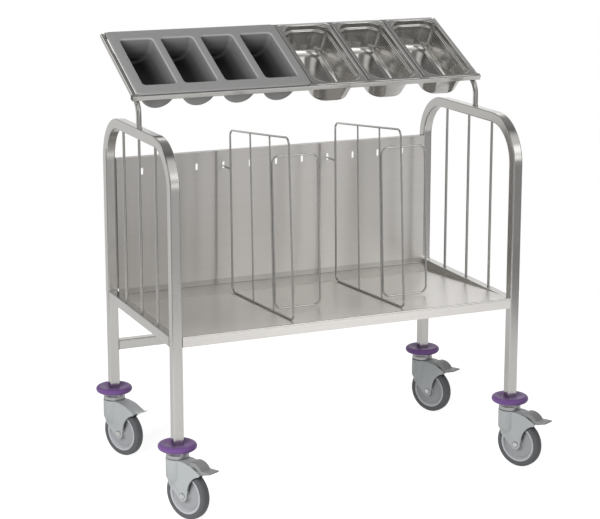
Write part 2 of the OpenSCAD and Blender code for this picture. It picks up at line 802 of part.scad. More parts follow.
translate([stand_x, stand_y, 0]) {
    for (s = SIDES) {
        end_frame(s);
        cross_member(s);
        for (i = RODS) rod(s, i);
        post(s);
        end_bar(s);
    }
    shelf();
    back_panel();
    back_stretcher();
    long_rail(0, rail_len);  // front_rail
    long_rail(rail_gap, back_rail_len);  // back_rail
    for (i = PANS) {
        cross_bar(i);
        pan(i);
    }
    cutlery_insert();
    for (s = DIVIDERS) {
        divider_loop(s);
        divider_bars(s);
        divider_wing(s);
    }
    for (c = CORNERS) {
        bumper(c);
        cap(c);
        fork(c);
        axle(c);
        wheel(c);
        tyre(c);
    }
    for (c = BRAKED) brake(c);
}
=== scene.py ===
"""Looks of the tray and cutlery trolley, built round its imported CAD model."""

import math

import bmesh
import bpy
from mathutils import Matrix, Vector


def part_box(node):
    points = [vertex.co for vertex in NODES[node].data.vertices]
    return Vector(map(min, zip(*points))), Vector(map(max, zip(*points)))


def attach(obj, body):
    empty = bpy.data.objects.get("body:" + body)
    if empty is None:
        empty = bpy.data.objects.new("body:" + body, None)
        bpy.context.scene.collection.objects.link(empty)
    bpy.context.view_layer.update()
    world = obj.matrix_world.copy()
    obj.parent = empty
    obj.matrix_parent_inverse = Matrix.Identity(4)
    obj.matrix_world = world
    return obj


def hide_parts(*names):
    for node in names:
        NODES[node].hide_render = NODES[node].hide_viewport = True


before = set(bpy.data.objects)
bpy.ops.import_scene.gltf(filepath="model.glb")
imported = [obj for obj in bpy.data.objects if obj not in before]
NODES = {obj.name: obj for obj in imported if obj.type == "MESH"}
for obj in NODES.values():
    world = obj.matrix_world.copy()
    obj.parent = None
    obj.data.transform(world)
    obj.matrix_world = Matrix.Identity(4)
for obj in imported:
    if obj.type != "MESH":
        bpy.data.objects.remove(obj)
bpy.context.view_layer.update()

bl_info = {
    "name": "Tray and cutlery trolley looks",
    "version": (1, 1, 0),
    "blender": (4, 5, 0),
    "location": "3D View > Sidebar > Trolley",
    "description": "Finishes, fine pieces and a plain stage for the tray and cutlery trolley",
    "category": "Object",
}

MM = 0.001
CORNERS = ("front_left", "front_right", "back_left", "back_right")
BRAKED = ("front_left", "front_right", "back_right")
SIDES = ("left", "right")
PANS = (1, 2, 3)

# The middle of the end frames, which the CAD model's sizes are measured from
SHELF_LOW, SHELF_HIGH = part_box("shelf")
FRAME_D = 600
MIDDLE = Vector(((SHELF_LOW[0] + SHELF_HIGH[0]) / 2, SHELF_LOW[1] + FRAME_D / 2 * MM, 0))

# Sizes of the CAD model that the fine pieces share with it, in millimetres
LEG_X, LEG_Y, INNER_X, INNER_Y = 530, 285, 515, 270
TUBE, TUBE_R = 30, 4
FRAME_TOP, CROSS_TOP, STRETCHER_TOP = 1056, 515, 358
ROD_D, ROD_PITCH = 8, 140
PANEL_Y, PANEL_TOP, SEAM_Z = 262, 920, 520
DECK_FRONT_Z, SHELF_FALL, STRIP_D = 519, 0.058, 62
RACK_TILT = math.radians(26.5)
RACK_Y, RACK_Z = -15, 1142
RAIL, RAIL_LEN = 15, 1108
POST_X, POST_Y, POST_D = 537, -24, 16
ROW_LEFT, ROW_S, SEAT = 535.5, 160, 7.8
INSERT_W, INSERT_D, INSERT_GAP, RIM_R = 530, 325, 7.5, 14
CELLS, CELL_PITCH, CELL_W, CELL_LEN, CELL_DEPTH = 4, 125, 101, 237, 84
SKIRT, WALL, RIM_REACH = 5, 2.5, 4
PAN_W, PAN_DEPTH, PAN_RIM, PAN_R = 176, 90, 12, 45
SHOULDER_W, PAN_DRAFT = 5, 10
WHEEL_R, TREAD_W, DISC_R, HUB_HALF = 72.5, 30, 57, 17.8
FORK_W, FORK_TOP, BUMPER_Z, BUMPER_R, CAP_R, CAP_TOP = 48, 171, 204, 55, 32.5, 197
TRAIL_ANGLE = math.radians(-63)


def at(x, y, z):
    """A point of the CAD model, given in millimetres from the middle of the end frames."""
    return MIDDLE + Vector((x, y, z)) * MM


def rack_matrix(x, s, h):
    """Axes of a place on the rack: along the rails, up the slope and square to it, in mm."""
    tilt = Matrix.Rotation(RACK_TILT, 4, "X")
    return (Matrix.Translation(at(0, RACK_Y, RACK_Z)) @ tilt @ Matrix.Scale(MM, 4)
            @ Matrix.Translation((x, s, h)))


def axle_matrix(corner):
    """Axes of a wheel in mm: its axle along Z, through the middle of the tyre."""
    low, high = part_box(f"{corner}_tyre")
    middle = (Vector(low) + Vector(high)) / 2
    return (Matrix.Translation(middle) @ Matrix.Rotation(TRAIL_ANGLE, 4, "Z")
            @ Matrix.Rotation(math.radians(-90), 4, "X") @ Matrix.Scale(MM, 4))


def upright_matrix(corner, z):
    """Axes of a corner's swivel pin in mm, upright, at a height above the floor."""
    x = LEG_X if corner.endswith("right") else -LEG_X
    y = LEG_Y if corner.startswith("back") else -LEG_Y
    return Matrix.Translation(at(x, y, z)) @ Matrix.Scale(MM, 4)


# Mesh helpers. A maker draws in its piece's own axes: in millimetres on the rack, the axles and
# the swivel pins, and in metres where the axes are the scene's.

def piece(name, mesh_maker, matrix, material, body, replaced=(), sharp=38):
    """A new object from a mesh maker, set in place, finished and told what it rides on."""
    bm = bmesh.new()
    mesh_maker(bm)
    bmesh.ops.remove_doubles(bm, verts=bm.verts, dist=1e-4)
    bmesh.ops.recalc_face_normals(bm, faces=bm.faces)
    bm.transform(matrix)
    mesh = bpy.data.meshes.new(name)
    bm.to_mesh(mesh)
    bm.free()
    return shown(name, mesh, material, body, replaced, sharp)


def shown(name, mesh, material, body, replaced, sharp):
    """Puts a mesh in the scene as a piece of a body."""
    for face in mesh.polygons:
        face.use_smooth = True
    mesh.set_sharp_from_angle(angle=math.radians(sharp))
    mesh.materials.append(material)
    made = bpy.data.objects.new(name, mesh)
    bpy.context.scene.collection.objects.link(made)
    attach(made, body)
    if replaced:
        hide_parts(*replaced)
    return made


def band(bm, rows, closed=True):
    """Faces between rows of as many vertices each."""
    count = len(rows[0])
    for low, high in zip(rows, rows[1:]):
        for i in range(count if closed else count - 1):
            j = (i + 1) % count
            bm.faces.new((low[i], low[j], high[j], high[i]))


def loft(bm, rings, closed=True, ends=False):
    """Faces between rings of as many points each, and over both ends where asked for."""
    rows = [[bm.verts.new(point) for point in ring] for ring in rings]
    band(bm, rows, closed)
    if ends:
        bm.faces.new(rows[0])
        bm.faces.new(rows[-1])
    return rows


def fill_between(bm, loops):
    """Flat faces inside the first loop of vertices and outside the others."""
    edges = []
    for loop in loops:
        for a, b in zip(loop, loop[1:] + loop[:1]):
            edges.append(bm.edges.get((a, b)) or bm.edges.new((a, b)))
    bmesh.ops.triangle_fill(bm, use_beauty=True, use_dissolve=False, edges=edges)


def turn(bm, profile, count):
    """A closed profile of (radius, height) turned about Z."""
    rings = []
    for k in range(count):
        angle = 2 * math.pi * k / count
        rings.append([(r * math.cos(angle), r * math.sin(angle), h) for r, h in profile])
    loft(bm, rings + rings[:1])


def softened(points, radius, steps):
    """The same closed outline with its corners rounded, as far as the sides allow."""
    made = []
    for i, (x, y) in enumerate(points):
        here = Vector((x, y))
        back = Vector(points[i - 1]) - here
        ahead = Vector(points[(i + 1) % len(points)]) - here
        reach = min(back.length, ahead.length) * 0.48
        angle = back.angle(ahead, math.pi)
        # A nearly straight place stays as it is, and so does a sharp fold back
        if angle > math.radians(172) or angle < math.radians(4):
            made.append((x, y))
            continue
        cut = min(radius / math.tan(angle / 2), reach)
        start, end = here + back.normalized() * cut, here + ahead.normalized() * cut
        for k in range(steps + 1):
            t = k / steps
            point = start * (1 - t) ** 2 + here * 2 * t * (1 - t) + end * t ** 2
            made.append((point.x, point.y))
    return made


def round_ring(w, d, r, inset, h, turns=8, long=10, short=5):
    """Points round a rectangle with round corners, as many for any size."""
    half_w, half_d = w / 2 - inset - r, d / 2 - inset - r
    middles = [Vector((sx * half_w, sy * half_d))
               for sx, sy in ((1, -1), (1, 1), (-1, 1), (-1, -1))]
    points = []
    for quarter, middle in enumerate(middles):
        start = math.radians(90 * quarter - 90)
        for k in range(turns + 1):
            angle = start + math.radians(90) * k / turns
            points.append(middle + Vector((math.cos(angle), math.sin(angle))) * r)
        ahead = start + math.radians(90)
        target = middles[(quarter + 1) % 4] + Vector((math.cos(ahead), math.sin(ahead))) * r
        last = points[-1]
        count = long if quarter in (0, 2) else short
        points += [last.lerp(target, k / count) for k in range(1, count)]
    return [(p.x, p.y, h) for p in points]


def bead(bm, loop, normal, radius, sides=6):
    """A thin round bead along a closed flat loop of points."""
    rings = []
    count = len(loop)
    for i, point in enumerate(loop):
        along = (Vector(loop[(i + 1) % count]) - Vector(loop[i - 1])).normalized()
        out = along.cross(normal).normalized()
        rings.append([Vector(point) + radius * (math.cos(t) * out + math.sin(t) * normal)
                      for t in (2 * math.pi * k / sides for k in range(sides))])
    loft(bm, rings + rings[:1])


def circle_loop(middle, normal, r, count=20):
    """Points of a circle about a middle, square to a normal."""
    normal = Vector(normal).normalized()
    side = normal.orthogonal().normalized()
    other = normal.cross(side)
    return [Vector(middle) + r * (math.cos(a) * side + math.sin(a) * other)
            for a in (2 * math.pi * k / count for k in range(count))]


def eased_copy(node, width, material, body, sharp=35):
    """A copy of a CAD node's mesh with its hard edges rounded, which stands for the node."""
    mesh = NODES[node].data.copy()
    mesh.name = f"{node}_eased"
    mesh.materials.clear()
    bm = bmesh.new()
    bm.from_mesh(mesh)
    bmesh.ops.remove_doubles(bm, verts=bm.verts, dist=2e-6)
    bmesh.ops.dissolve_limit(bm, angle_limit=math.radians(1.5), verts=bm.verts, edges=bm.edges)
    bm.to_mesh(mesh)
    bm.free()
    made = shown(f"{node}_eased", mesh, material, body, (node,), sharp)
    round_off = made.modifiers.new("Rounded edges", "BEVEL")
    round_off.width = width * MM
    round_off.segments = 3
    round_off.limit_method = "ANGLE"
    round_off.angle_limit = math.radians(sharp)
    round_off.harden_normals = True
    return made


# Shader helpers

def add(tree, kind, **values):
    """A new node, with its input sockets and properties set by name."""
    node = tree.nodes.new(kind)
    for name, value in values.items():
        if name in node.inputs:
            node.inputs[name].default_value = value
        else:
            setattr(node, name, value)
    return node


def join(tree, out, into):
    """A link from an output socket to an input socket."""
    tree.links.new(out, into)


def math_node(tree, operation, *values):
    """A Math node whose inputs are numbers or other nodes' outputs."""
    node = add(tree, "ShaderNodeMath", operation=operation)
    for socket, value in zip(node.inputs, values):
        if isinstance(value, (int, float)):
            socket.default_value = value
        else:
            join(tree, value, socket)
    return node.outputs[0]


def grey_ramp(tree, value, stops):
    """Grey values that go softly over from stop to stop."""
    node = tree.nodes.new("ShaderNodeValToRGB")
    node.color_ramp.interpolation = "EASE"
    entries = node.color_ramp.elements
    while len(entries) < len(stops):
        entries.new(0.5)
    for entry, (place, grey) in zip(entries, stops):
        entry.position = place
        entry.color = (grey, grey, grey, 1)
    join(tree, value, node.inputs["Fac"])
    return node.outputs["Color"]


def map_range(tree, value, low, high, to_low=0.0, to_high=1.0, smooth="LINEAR"):
    """Takes a value from one range to another, held at the ends."""
    node = add(tree, "ShaderNodeMapRange", interpolation_type=smooth)
    join(tree, value, node.inputs["Value"])
    for socket, end in (("From Min", low), ("From Max", high), ("To Min", to_low),
                        ("To Max", to_high)):
        node.inputs[socket].default_value = end
    return node.outputs[0]


def reach_along(tree, vector, way):
    """How far a vector reaches along a fixed direction."""
    node = add(tree, "ShaderNodeVectorMath", operation="DOT_PRODUCT")
    join(tree, vector, node.inputs[0])
    node.inputs[1].default_value = way
    return node.outputs["Value"]


def scaled(tree, colour, share):
    """A colour times a share."""
    node = add(tree, "ShaderNodeVectorMath", operation="SCALE")
    join(tree, colour, node.inputs[0])
    join(tree, share, node.inputs["Scale"])
    return node.outputs[0]


def finish_tree(name, *own_input):
    """A node group with the named sockets of a finish and one of its own, and its end nodes."""
    tree = bpy.data.node_groups.new(name, "ShaderNodeTree")
    for socket, kind, default in (
            own_input, ("Tone", "NodeSocketColor", (0.5, 0.5, 0.5, 1)),
            ("Cloud scale", "NodeSocketFloat", 6.0), ("Tone change", "NodeSocketFloat", 0.1),
            ("Roughness", "NodeSocketFloat", 0.4), ("Roughness change", "NodeSocketFloat", 0.1)):
        made = tree.interface.new_socket(name=socket, in_out="INPUT", socket_type=kind)
        made.default_value = default
    for socket, kind in (("Color", "NodeSocketColor"), ("Roughness", "NodeSocketFloat"),
                         ("Height", "NodeSocketFloat")):
        tree.interface.new_socket(name=socket, in_out="OUTPUT", socket_type=kind)
    return tree, tree.nodes.new("NodeGroupInput"), tree.nodes.new("NodeGroupOutput")


def give_out(tree, inside, out, change, height):
    """Tone and roughness that follow a change about zero, and the height for a bump."""
    factor = math_node(tree, "MULTIPLY_ADD", change, inside.outputs["Tone change"], 1.0)
    rough = math_node(tree, "MULTIPLY_ADD", change, inside.outputs["Roughness change"],
                      inside.outputs["Roughness"])
    join(tree, scaled(tree, inside.outputs["Tone"], factor), out.inputs["Color"])
    join(tree, rough, out.inputs["Roughness"])
    join(tree, height, out.inputs["Height"])


def grain_group():
    """Ground steel: fine scratches drawn out along one axis, with soft clouds of tone."""
    tree, inside, out = finish_tree("Steel grain", "Stretch", "NodeSocketVector", (8, 900, 900))
    place = add(tree, "ShaderNodeTexCoord").outputs["Object"]
    stretched = add(tree, "ShaderNodeVectorMath", operation="MULTIPLY")
    join(tree, place, stretched.inputs[0])
    join(tree, inside.outputs["Stretch"], stretched.inputs[1])
    lines = add(tree, "ShaderNodeTexNoise", Scale=1.0, Detail=5.0, Roughness=0.65)
    join(tree, stretched.outputs[0], lines.inputs["Vector"])
    clouds = add(tree, "ShaderNodeTexNoise", Detail=2.0, Roughness=0.5)
    join(tree, place, clouds.inputs["Vector"])
    join(tree, inside.outputs["Cloud scale"], clouds.inputs["Scale"])
    both = math_node(tree, "ADD", lines.outputs["Fac"], clouds.outputs["Fac"])
    change = math_node(tree, "SUBTRACT", both, 1.0)
    give_out(tree, inside, out, change, lines.outputs["Fac"])
    return tree


def moulded_group():
    """Moulded plastic or rubber: a pebbled skin, faint clouding and a little dulling."""
    tree, inside, out = finish_tree("Moulded skin", "Pebble scale", "NodeSocketFloat", 900.0)
    place = add(tree, "ShaderNodeTexCoord").outputs["Object"]
    pebbles = add(tree, "ShaderNodeTexVoronoi", feature="SMOOTH_F1")
    join(tree, place, pebbles.inputs["Vector"])
    join(tree, inside.outputs["Pebble scale"], pebbles.inputs["Scale"])
    clouds = add(tree, "ShaderNodeTexNoise", Detail=4.0, Roughness=0.55)
    join(tree, place, clouds.inputs["Vector"])
    join(tree, inside.outputs["Cloud scale"], clouds.inputs["Scale"])
    change = math_node(tree, "SUBTRACT", clouds.outputs["Fac"], 0.5)
    give_out(tree, inside, out, change, pebbles.outputs["Distance"])
    return tree


def shared(name):
    """One of the shared node groups, made the first time it is asked for."""
    if name not in bpy.data.node_groups:
        return {"Steel grain": grain_group, "Moulded skin": moulded_group}[name]()
    return bpy.data.node_groups[name]


def finish_of(name, group, bump, metal, **inputs):
    """A material whose colour, roughness and bump come from one of the shared groups."""
    material = bpy.data.materials.new(name)
    material.use_nodes = True
    tree = material.node_tree
    skin = tree.nodes["Principled BSDF"]
    skin.inputs["Metallic"].default_value = metal
    effect = tree.nodes.new("ShaderNodeGroup")
    effect.node_tree = shared(group)
    for socket, value in inputs.items():
        effect.inputs[socket.replace("_", " ")].default_value = value
    join(tree, effect.outputs["Color"], skin.inputs["Base Color"])
    join(tree, effect.outputs["Roughness"], skin.inputs["Roughness"])
    relief = add(tree, "ShaderNodeBump", Strength=bump, Distance=0.0002)
    join(tree, effect.outputs["Height"], relief.inputs["Height"])
    join(tree, relief.outputs["Normal"], skin.inputs["Normal"])
    return material


# How far the grain is drawn out: the smallest number is the axis that it runs along
ALONG_X, ALONG_Y, ALONG_Z, EVEN = (12, 300, 300), (300, 12, 300), (300, 300, 12), (20, 20, 20)


def steel(name, tone, rough, stretch, bump=0.0, change=0.1, rough_change=0.1, clouds=4.0):
    """Steel whose grain is drawn out along the axis with the smallest stretch."""
    return finish_of(name, "Steel grain", bump, 1.0, Stretch=stretch, Cloud_scale=clouds,
                     Tone=(*tone, 1), Tone_change=change, Roughness=rough,
                     Roughness_change=rough_change)


def brushed_along_x(name, tone, rough):
    """Sheet steel brushed along the trolley, so that reflections spread across the grain."""
    material = steel(name, tone, rough, (3, 260, 260), bump=0.01, change=0.16,
                     rough_change=0.06, clouds=1.6)
    tree = material.node_tree
    skin = tree.nodes["Principled BSDF"]
    skin.inputs["Anisotropic"].default_value = 0.95
    skin.inputs["Anisotropic Rotation"].default_value = 0.25
    grain = add(tree, "ShaderNodeCombineXYZ", X=1.0)
    join(tree, grain.outputs["Vector"], skin.inputs["Tangent"])
    return material


def plastic(name, tone, rough, pebble=900.0, bump=0.1, change=0.08):
    """Moulded plastic or rubber, with more pebbles to the metre for a finer skin."""
    return finish_of(name, "Moulded skin", bump, 0.0, Pebble_scale=pebble, Cloud_scale=9.0,
                     Tone=(*tone, 1), Tone_change=change, Roughness=rough, Roughness_change=0.12)


def made_once(name, maker):
    """A material that more than one operator uses."""
    return bpy.data.materials.get(name) or maker()


def ground_steel(name, stretch):
    """Ground tube steel, in the tone that the user sets."""
    tone = bpy.context.scene.trolley_looks.tube_tone[:]
    return made_once(name, lambda: steel(name, tone, 0.20, stretch, bump=0.01))


def tube_steel():
    """Ground steel with its grain upright, for legs, rods and posts."""
    return ground_steel("Ground tube", ALONG_Z)


def level_steel():
    """Ground steel with its grain level, for rails and cross members."""
    return ground_steel("Ground bar", ALONG_X)


def zinc():
    """Bright zinc of the castors' bearings, and of the weld beads."""
    name = "Bright zinc"
    return made_once(name, lambda: steel(name, (0.52, 0.52, 0.52), 0.38, EVEN))


def dress(node, material):
    """Gives a CAD node its finish."""
    slots = NODES[node].material_slots
    for entry in slots:
        entry.material = material
    if not slots:
        NODES[node].data.materials.append(material)


# Settings

class TrolleyLooks(bpy.types.PropertyGroup):
    tube_tone: bpy.props.FloatVectorProperty(
        name="Tube steel", description="Colour of the ground tubes and rods", subtype="COLOR",
        default=(0.61, 0.599, 0.578), min=0, max=1)
    sheet_tone: bpy.props.FloatVectorProperty(
        name="Sheet steel", description="Colour of the shelf and the back panel", subtype="COLOR",
        default=(0.575, 0.558, 0.536), min=0, max=1)
    insert_tone: bpy.props.FloatVectorProperty(
        name="Insert grey", description="Colour of the cutlery insert", subtype="COLOR",
        default=(0.345, 0.345, 0.342), min=0, max=1)
    bumper_tone: bpy.props.FloatVectorProperty(
        name="Bumper violet", description="Colour of the bumper discs", subtype="COLOR",
        default=(0.15, 0.07, 0.235), min=0, max=1)
    insert_edge: bpy.props.FloatProperty(
        name="Insert edge", description="Radius of the insert's rounded edges, in millimetres",
        default=3.0, min=0.5, max=4.0)
    bumper_thickness: bpy.props.FloatProperty(
        name="Bumper thickness", description="Thickness of the bumpers' round rim, in millimetres",
        default=18.5, min=12.0, max=20.0)


class StageLooks(bpy.types.PropertyGroup):
    key_power: bpy.props.FloatProperty(
        name="Key light", description="Power of the large soft light at the front left, in watts",
        default=165.0, min=0, max=500, unit="POWER")
    fill_power: bpy.props.FloatProperty(
        name="Fill light", description="Power of the soft light at the right, in watts",
        default=25.0, min=0, max=500, unit="POWER")
    surround: bpy.props.FloatProperty(
        name="Surroundings", description="Strength of the studio's own light all round",
        default=1.0, min=0, max=3)
    floor_tone: bpy.props.FloatProperty(
        name="Floor tone", description="Grey value of the floor", subtype="FACTOR",
        default=0.68, min=0, max=1)


# Pieces

class TROLLEY_OT_frame_finish(bpy.types.Operator):
    """Finish the tubes, rods, posts and the rack with ground steel and add their weld beads"""
    bl_idname = "trolley.frame_finish"
    bl_label = "Frame and rack"

    def execute(self, context):
        for side in SIDES:
            for part in ("end_frame", "post", "rod_1", "rod_2", "rod_3"):
                dress(f"{side}_{part}", tube_steel())
            dress(f"{side}_cross_member", level_steel())
            dress(f"{side}_end_bar", level_steel())
        for node in ("back_stretcher", "front_rail", "back_rail"):
            dress(node, level_steel())
        # The cross bars are painted dark: painted shade in the gaps between the insert and the pans
        gap_shade_steel = steel("Bar steel painted dark for gap shade", (0.30, 0.295, 0.285), 0.34, ALONG_Y, bump=0.01)
        for k in PANS:
            dress(f"cross_bar_{k}", gap_shade_steel)
        still = Matrix.Identity(4)
        piece("weld_beads", self.weld_beads, still, zinc(), "frame")
        plug = plastic("Dark plug", (0.03, 0.03, 0.03), 0.5)
        piece("rail_plugs", self.rail_plugs, still, plug, "frame")
        return {"FINISHED"}

    def weld_beads(self, bm):
        """Thin beads where rods, cross members, the stretcher and the posts meet the tubes."""
        thin, full, clear = 1.1 * MM, 1.4 * MM, 0.3
        up, right, back = Vector((0, 0, 1)), Vector((1, 0, 0)), Vector((0, 1, 0))
        for sx in (-1, 1):
            for k in (-1, 0, 1):
                for z in (CROSS_TOP, FRAME_TOP - TUBE):
                    middle = at(sx * LEG_X, k * ROD_PITCH, z)
                    bead(bm, circle_loop(middle, up, (ROD_D / 2 + clear) * MM), up, thin)
            for sy in (-1, 1):
                middle = at(sx * LEG_X, sy * INNER_Y, CROSS_TOP - TUBE / 2)
                bead(bm, self.square_loop(middle, right, up), back, thin)
            middle = at(sx * INNER_X, LEG_Y, STRETCHER_TOP - TUBE / 2)
            bead(bm, self.square_loop(middle, back, up), right, thin)
            middle = at(sx * POST_X, POST_Y, FRAME_TOP)
            bead(bm, circle_loop(middle, up, (POST_D / 2 + clear) * MM), up, full)

    def square_loop(self, middle, u, v):
        """Points round a square tube's end."""
        return [middle + (u * x + v * y) * MM
                for x, y, _ in round_ring(TUBE, TUBE, TUBE_R, 0, 0, turns=3, long=1, short=1)]

    def rail_plugs(self, bm):
        """Dark plugs in the open ends of the front rail, inside its wall."""
        wall = 1.6
        half = RAIL / 2 - wall
        ring = round_ring(RAIL, RAIL, 1.5, wall, 0, turns=3, long=1, short=1)
        for sx in (-1, 1):
            rings = []
            for reach, inset in ((-4, 0), (0.5, 0), (1.0, 0.5)):
                x = sx * (RAIL_LEN / 2 + reach)
                scale = (half - inset) / half
                rings.append([rack_matrix(x, u * scale, v * scale).to_translation()
                              for u, v, _ in ring])
            rows = loft(bm, rings)
            bm.faces.new(rows[-1])


# The shelf is painted this much lighter than the panel's same steel, a painted reflection; its
# upstand takes this share of that, about the panel's tone with a little painted shade along the
# seam
SHELF_PAINTED_GAIN, UPSTAND_SHARE = 1.5, 0.52


class TROLLEY_OT_sheet_finish(bpy.types.Operator):
    """Finish the shelf and the back panel with brushed sheet steel and close the panel's sides"""
    bl_idname = "trolley.sheet_finish"
    bl_label = "Shelf and back panel"

    def execute(self, context):
        tone = context.scene.trolley_looks.sheet_tone[:]
        brushed = brushed_along_x("Brushed sheet", tone, 0.30)
        dress("back_panel", brushed)
        # The shelf is a copy of the panel's steel painted lighter, a painted reflection of the
        # bright studio
        shelf = brushed_along_x("Brushed shelf", [SHELF_PAINTED_GAIN * part for part in tone], 0.33)
        self.upstand_to_panel_tone(shelf)
        dress("shelf", shelf)
        still = Matrix.Identity(4)
        piece("panel_side_seams", self.side_seams, still, tube_steel(), "frame")
        bright = steel("Bright fold", (0.80, 0.785, 0.76), 0.24, ALONG_X)
        piece("shelf_front_fold", self.front_fold, still, bright, "frame")
        piece("shelf_crease_line", self.crease_line, still, bright, "frame")
        return {"FINISHED"}

    def upstand_to_panel_tone(self, material):
        """Gives the shelf's upstand, behind its rising strip, about the back panel's tone: without
        the deck's painted lightening, and a little darker as painted shade along the seam.
        """
        tree = material.node_tree
        skin = tree.nodes["Principled BSDF"]
        colour = skin.inputs["Base Color"].links[0].from_socket
        parts = add(tree, "ShaderNodeSeparateXYZ")
        join(tree, add(tree, "ShaderNodeTexCoord").outputs["Object"], parts.inputs[0])
        behind = math_node(tree, "GREATER_THAN", parts.outputs["Y"], at(0, PANEL_Y - 4, 0).y)
        share = math_node(tree, "MULTIPLY_ADD", behind, UPSTAND_SHARE - 1, 1.0)
        join(tree, scaled(tree, colour, share), skin.inputs["Base Color"])

    def front_fold(self, bm):
        """Smooth round fold between the deck and the apron."""
        front, top, r = -FRAME_D / 2, DECK_FRONT_Z, 3.15
        ring = [(front + 3 - r * math.cos(a), top - 3.05 + r * math.sin(a))
                for a in (math.pi / 2 * k / 8 for k in range(9))]
        ring = [(front - 0.02, top - 5.5)] + ring + [(front + 5.5, top - 0.26)]
        ring += [(front + 4, top - 1.2), (front + 1.2, top - 4)]
        self.along_shelf(bm, ring)

    def crease_line(self, bm):
        """Low line that the press leaves along the crease of the deck."""
        y = PANEL_Y - STRIP_D
        z = DECK_FRONT_Z - SHELF_FALL * (y + FRAME_D / 2)
        self.along_shelf(bm, [(y + 1.7 * math.cos(a), z + 0.5 + 0.75 * math.sin(a))
                              for a in (2 * math.pi * k / 12 for k in range(12))])

    def along_shelf(self, bm, outline):
        """A thin bar of one outline of (y, z) from end frame to end frame."""
        half = INNER_X - 1.0
        loft(bm, [[at(sx * half, y, z) for y, z in outline] for sx in (-1, 1)], ends=True)

    def side_seams(self, bm):
        """Hollow welded fillets between the back panel's sides and the back legs."""
        width, depth, hollow, behind = 5.0, 7.4, 1.6, INNER_Y + 1.5
        outline = [(INNER_X + width * t, INNER_Y + 0.2 - depth * (1 - t) ** hollow)
                   for t in (k / 6 for k in range(7))]
        outline += [(INNER_X + width, behind), (INNER_X - 0.2, behind)]
        for sx in (-1, 1):
            loft(bm, [[at(sx * x, y, z) for x, y in outline]
                      for z in (SEAM_Z + 2, PANEL_TOP - 1)], ends=True)


class TROLLEY_OT_dividers(bpy.types.Operator):
    """Finish the wire dividers with bright drawn wire and add their spot welds"""
    bl_idname = "trolley.dividers"
    bl_label = "Wire dividers"

    def execute(self, context):
        drawn = steel("Drawn wire", (0.60, 0.59, 0.57), 0.2, (60, 60, 60))
        for side in SIDES:
            for part in ("loop", "bars", "wing"):
                dress(f"{side}_divider_{part}", drawn)
            piece(f"{side}_divider_welds", lambda bm: self.spot_welds(bm, side),
                  Matrix.Identity(4), drawn, f"{side}_divider")
        return {"FINISHED"}

    def spot_welds(self, bm, side):
        """Small collars where the inner bars meet the frame wire, above and below."""
        # In metres: a height between a bar's two ends, and less than the gap between two bars
        half_up, apart = 0.8, 0.06
        up = Vector((0, 0, 1))
        tops, feet = {}, {}
        for vertex in NODES[f"{side}_divider_bars"].data.vertices:
            key = min(tops, key=lambda k: abs(k - vertex.co.y), default=None)
            if key is None or abs(key - vertex.co.y) > apart:
                key = vertex.co.y
                tops[key], feet[key] = [], []
            (tops if vertex.co.z > half_up else feet)[key].append(vertex.co.copy())
        for group in (*tops.values(), *feet.values()):
            if group:
                middle = sum(group, Vector()) / len(group)
                inward = 3.4 * MM * (-1 if middle.z > half_up else 1)
                bead(bm, circle_loop(middle + up * inward, up, 2.3 * MM, 14), up, 0.9 * MM)


# Painted shade in a compartment, darker towards its floor: share of its depth, and brightness
# before CELL_GAIN
CELL_SHADE = ((0.0, 1.0), (0.035, 1.0), (0.08, 0.52), (0.45, 0.38), (0.72, 0.2), (0.95, 0.03))
CELL_GAIN = 1.2


